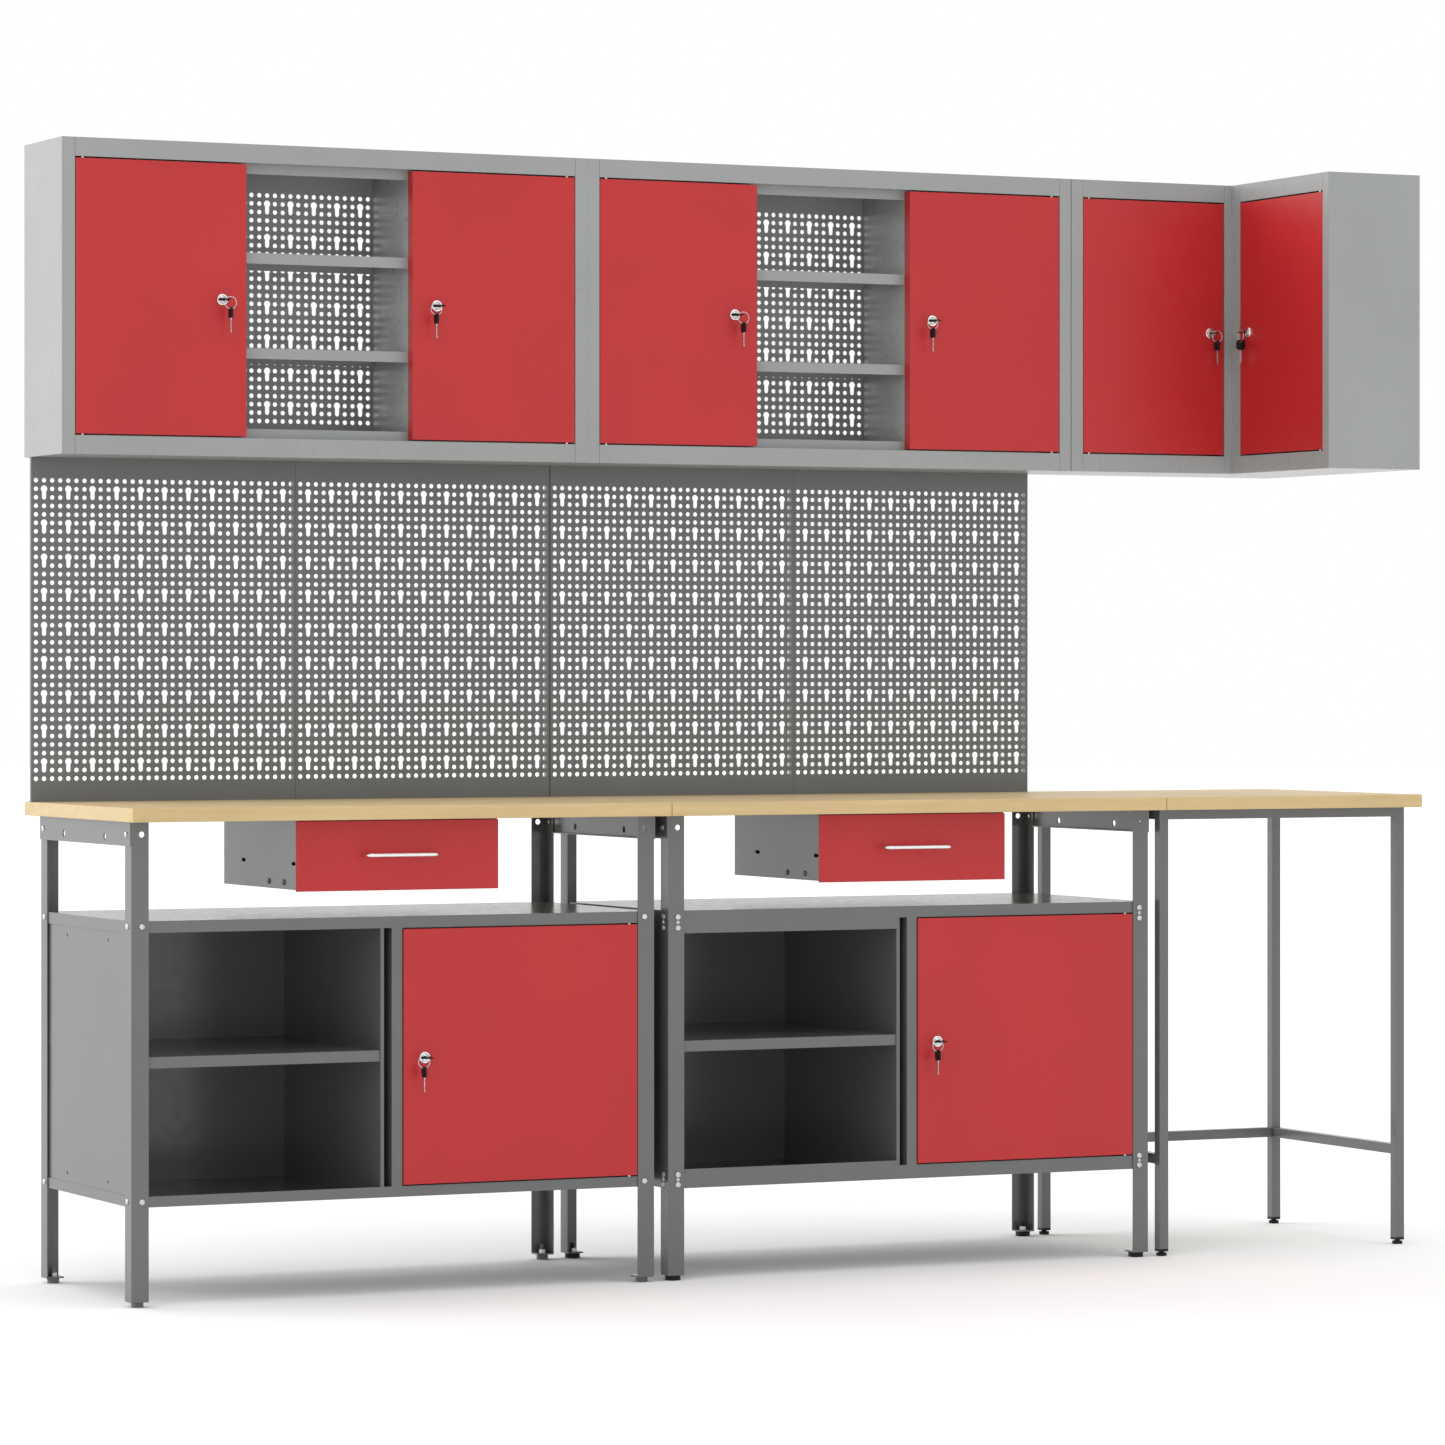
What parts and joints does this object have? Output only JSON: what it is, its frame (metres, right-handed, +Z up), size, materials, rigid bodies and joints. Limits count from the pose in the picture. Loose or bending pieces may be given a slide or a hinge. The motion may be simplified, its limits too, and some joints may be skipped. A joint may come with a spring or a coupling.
{
  "type": "workbench with drawers",
  "caption": "Modular steel workshop bench row with drawers, red lockable doors, perforated tool wall, wall cabinets and a corner table",
  "frame": {"origin": "floor level, under the middle of the plan", "axes": "+X right along the bench row, +Y to the wall, +Z up"},
  "size_m": [2.78, 0.61, 2.182],
  "materials": {
    "laminate_tan": "semi-matt laminate",
    "paint_grey": "powder coat",
    "paint_light_grey": "powder coat",
    "paint_red": "powder coat",
    "zinc_steel": "zinc plated",
    "chrome_plate": "polished",
    "black_plastic": "moulded",
    "grey_plastic": "moulded"
  },
  "bodies": {
    "station": {"worktops": "laminate_tan", "bench_legs": "paint_grey", "bench_side_rails": "paint_grey", "corner_table_legs": "paint_grey", "corner_table_rails": "paint_grey", "tube_plugs": "black_plastic", "left_base_cabinet": "paint_grey", "middle_base_cabinet": "paint_grey", "base_cabinet_shelves": "paint_grey", "wall_cabinet_shelves": "paint_light_grey", "drawer_housings": "paint_grey", "left_wall_cabinet": "paint_light_grey", "middle_wall_cabinet": "paint_light_grey", "corner_wall_cabinet": "paint_light_grey", "perforated_panels": "paint_grey", "wall_cabinet_backs": "paint_light_grey", "bolts_and_screws": "zinc_steel", "hinge_pins": "zinc_steel"},
    "left_drawer": {"left_drawer_box": "zinc_steel", "left_drawer_front": "paint_red", "left_drawer_handle": "chrome_plate"},
    "middle_drawer": {"middle_drawer_box": "zinc_steel", "middle_drawer_front": "paint_red", "middle_drawer_handle": "chrome_plate"},
    "left_base_door": {"left_base_door": "paint_red", "left_base_lock": "chrome_plate"},
    "left_base_key": {"left_base_key": "black_plastic"},
    "left_wall_door_left": {"left_wall_door_left": "paint_red", "left_wall_lock_left": "chrome_plate"},
    "left_wall_key_left": {"left_wall_key_left": "black_plastic"},
    "left_wall_door_right": {"left_wall_door_right": "paint_red", "left_wall_lock_right": "chrome_plate"},
    "left_wall_key_right": {"left_wall_key_right": "black_plastic"},
    "middle_base_door": {"middle_base_door": "paint_red", "middle_base_lock": "chrome_plate"},
    "middle_base_key": {"middle_base_key": "black_plastic"},
    "middle_wall_door_left": {"middle_wall_door_left": "paint_red", "middle_wall_lock_left": "chrome_plate"},
    "middle_wall_key_left": {"middle_wall_key_left": "black_plastic"},
    "middle_wall_door_right": {"middle_wall_door_right": "paint_red", "middle_wall_lock_right": "chrome_plate"},
    "middle_wall_key_right": {"middle_wall_key_right": "black_plastic"},
    "corner_wall_door_front": {"corner_wall_door_front": "paint_red", "corner_wall_lock_front": "chrome_plate"},
    "corner_wall_key_front": {"corner_wall_key_front": "black_plastic"},
    "corner_wall_door_arm": {"corner_wall_door_arm": "paint_red", "corner_wall_lock_arm": "chrome_plate"},
    "corner_wall_key_arm": {"corner_wall_key_arm": "black_plastic"},
    "left_bench_foot_1": {"left_bench_foot_1": "grey_plastic"},
    "left_bench_foot_2": {"left_bench_foot_2": "grey_plastic"},
    "left_bench_foot_3": {"left_bench_foot_3": "grey_plastic"},
    "left_bench_foot_4": {"left_bench_foot_4": "grey_plastic"},
    "middle_bench_foot_1": {"middle_bench_foot_1": "black_plastic"},
    "middle_bench_foot_2": {"middle_bench_foot_2": "black_plastic"},
    "middle_bench_foot_3": {"middle_bench_foot_3": "black_plastic"},
    "middle_bench_foot_4": {"middle_bench_foot_4": "black_plastic"},
    "corner_table_foot_1": {"corner_table_foot_1": "black_plastic"},
    "corner_table_foot_2": {"corner_table_foot_2": "black_plastic"},
    "corner_table_foot_3": {"corner_table_foot_3": "black_plastic"},
    "corner_table_foot_4": {"corner_table_foot_4": "black_plastic"}
  },
  "joints": [
    {"name": "left_drawer_slide", "type": "slide", "parent": "station", "child": "left_drawer", "axis": [0, -1, 0], "range_m": [0, 0.25]},
    {"name": "middle_drawer_slide", "type": "slide", "parent": "station", "child": "middle_drawer", "axis": [0, -1, 0], "range_m": [0, 0.25]},
    {"name": "left_base_door_hinge", "type": "hinge", "parent": "station", "child": "left_base_door", "pos_m": [-0.3655, -0.25, 0.4465], "axis": [0, 0, 1], "range_deg": [0, 90]},
    {"name": "left_base_key_turn", "type": "hinge", "parent": "left_base_door", "child": "left_base_key", "pos_m": [-0.792, -0.255, 0.4445], "axis": [0, -1, 0], "range_deg": [0, 90]},
    {"name": "left_wall_door_left_hinge", "type": "hinge", "parent": "station", "child": "left_wall_door_left", "pos_m": [-1.3475, 0.0925, 1.882], "axis": [0, 0, -1], "range_deg": [0, 90]},
    {"name": "left_wall_key_left_turn", "type": "hinge", "parent": "left_wall_door_left", "child": "left_wall_key_left", "pos_m": [-1.0675, 0.0875, 1.882], "axis": [0, 1, 0], "range_deg": [0, 90]},
    {"name": "left_wall_door_right_hinge", "type": "hinge", "parent": "station", "child": "left_wall_door_right", "pos_m": [-0.3425, 0.0925, 1.882], "axis": [0, 0, 1], "range_deg": [0, 90]},
    {"name": "left_wall_key_right_turn", "type": "hinge", "parent": "left_wall_door_right", "child": "left_wall_key_right", "pos_m": [-0.6225, 0.0875, 1.882], "axis": [0, -1, 0], "range_deg": [0, 90]},
    {"name": "middle_base_door_hinge", "type": "hinge", "parent": "station", "child": "middle_base_door", "pos_m": [0.7245, -0.25, 0.4465], "axis": [0, 0, 1], "range_deg": [0, 90]},
    {"name": "middle_base_key_turn", "type": "hinge", "parent": "middle_base_door", "child": "middle_base_key", "pos_m": [0.298, -0.255, 0.4445], "axis": [0, -1, 0], "range_deg": [0, 90]},
    {"name": "middle_wall_door_left_hinge", "type": "hinge", "parent": "station", "child": "middle_wall_door_left", "pos_m": [-0.2575, 0.0925, 1.882], "axis": [0, 0, -1], "range_deg": [0, 90]},
    {"name": "middle_wall_key_left_turn", "type": "hinge", "parent": "middle_wall_door_left", "child": "middle_wall_key_left", "pos_m": [0.0225, 0.0875, 1.882], "axis": [0, 1, 0], "range_deg": [0, 90]},
    {"name": "middle_wall_door_right_hinge", "type": "hinge", "parent": "station", "child": "middle_wall_door_right", "pos_m": [0.7475, 0.0925, 1.882], "axis": [0, 0, 1], "range_deg": [0, 90]},
    {"name": "middle_wall_key_right_turn", "type": "hinge", "parent": "middle_wall_door_right", "child": "middle_wall_key_right", "pos_m": [0.4675, 0.0875, 1.882], "axis": [0, -1, 0], "range_deg": [0, 90]},
    {"name": "corner_wall_door_front_hinge", "type": "hinge", "parent": "station", "child": "corner_wall_door_front", "pos_m": [0.835, 0.0925, 1.882], "axis": [0, 0, -1], "range_deg": [0, 90]},
    {"name": "corner_wall_key_front_turn", "type": "hinge", "parent": "corner_wall_door_front", "child": "corner_wall_key_front", "pos_m": [1.121, 0.0875, 1.873], "axis": [0, 1, 0], "range_deg": [0, 90]},
    {"name": "corner_wall_door_arm_hinge", "type": "hinge", "parent": "station", "child": "corner_wall_door_arm", "pos_m": [1.1785, -0.255, 1.882], "axis": [0, 0, 1], "range_deg": [0, 90]},
    {"name": "corner_wall_key_arm_turn", "type": "hinge", "parent": "corner_wall_door_arm", "child": "corner_wall_key_arm", "pos_m": [1.1735, 0.019, 1.873], "axis": [-1, 0, 0], "range_deg": [0, 90]},
    {"name": "left_bench_foot_1_level", "type": "slide", "parent": "station", "child": "left_bench_foot_1", "axis": [0, 0, -1], "range_m": [0, 0.01]},
    {"name": "left_bench_foot_2_level", "type": "slide", "parent": "station", "child": "left_bench_foot_2", "axis": [0, 0, -1], "range_m": [0, 0.01]},
    {"name": "left_bench_foot_3_level", "type": "slide", "parent": "station", "child": "left_bench_foot_3", "axis": [0, 0, -1], "range_m": [0, 0.01]},
    {"name": "left_bench_foot_4_level", "type": "slide", "parent": "station", "child": "left_bench_foot_4", "axis": [0, 0, -1], "range_m": [0, 0.01]},
    {"name": "middle_bench_foot_1_level", "type": "slide", "parent": "station", "child": "middle_bench_foot_1", "axis": [0, 0, -1], "range_m": [0, 0.01]},
    {"name": "middle_bench_foot_2_level", "type": "slide", "parent": "station", "child": "middle_bench_foot_2", "axis": [0, 0, -1], "range_m": [0, 0.01]},
    {"name": "middle_bench_foot_3_level", "type": "slide", "parent": "station", "child": "middle_bench_foot_3", "axis": [0, 0, -1], "range_m": [0, 0.01]},
    {"name": "middle_bench_foot_4_level", "type": "slide", "parent": "station", "child": "middle_bench_foot_4", "axis": [0, 0, -1], "range_m": [0, 0.01]},
    {"name": "corner_table_foot_1_level", "type": "slide", "parent": "station", "child": "corner_table_foot_1", "axis": [0, 0, -1], "range_m": [0, 0.01]},
    {"name": "corner_table_foot_2_level", "type": "slide", "parent": "station", "child": "corner_table_foot_2", "axis": [0, 0, -1], "range_m": [0, 0.01]},
    {"name": "corner_table_foot_3_level", "type": "slide", "parent": "station", "child": "corner_table_foot_3", "axis": [0, 0, -1], "range_m": [0, 0.01]},
    {"name": "corner_table_foot_4_level", "type": "slide", "parent": "station", "child": "corner_table_foot_4", "axis": [0, 0, -1], "range_m": [0, 0.01]}
  ]
}
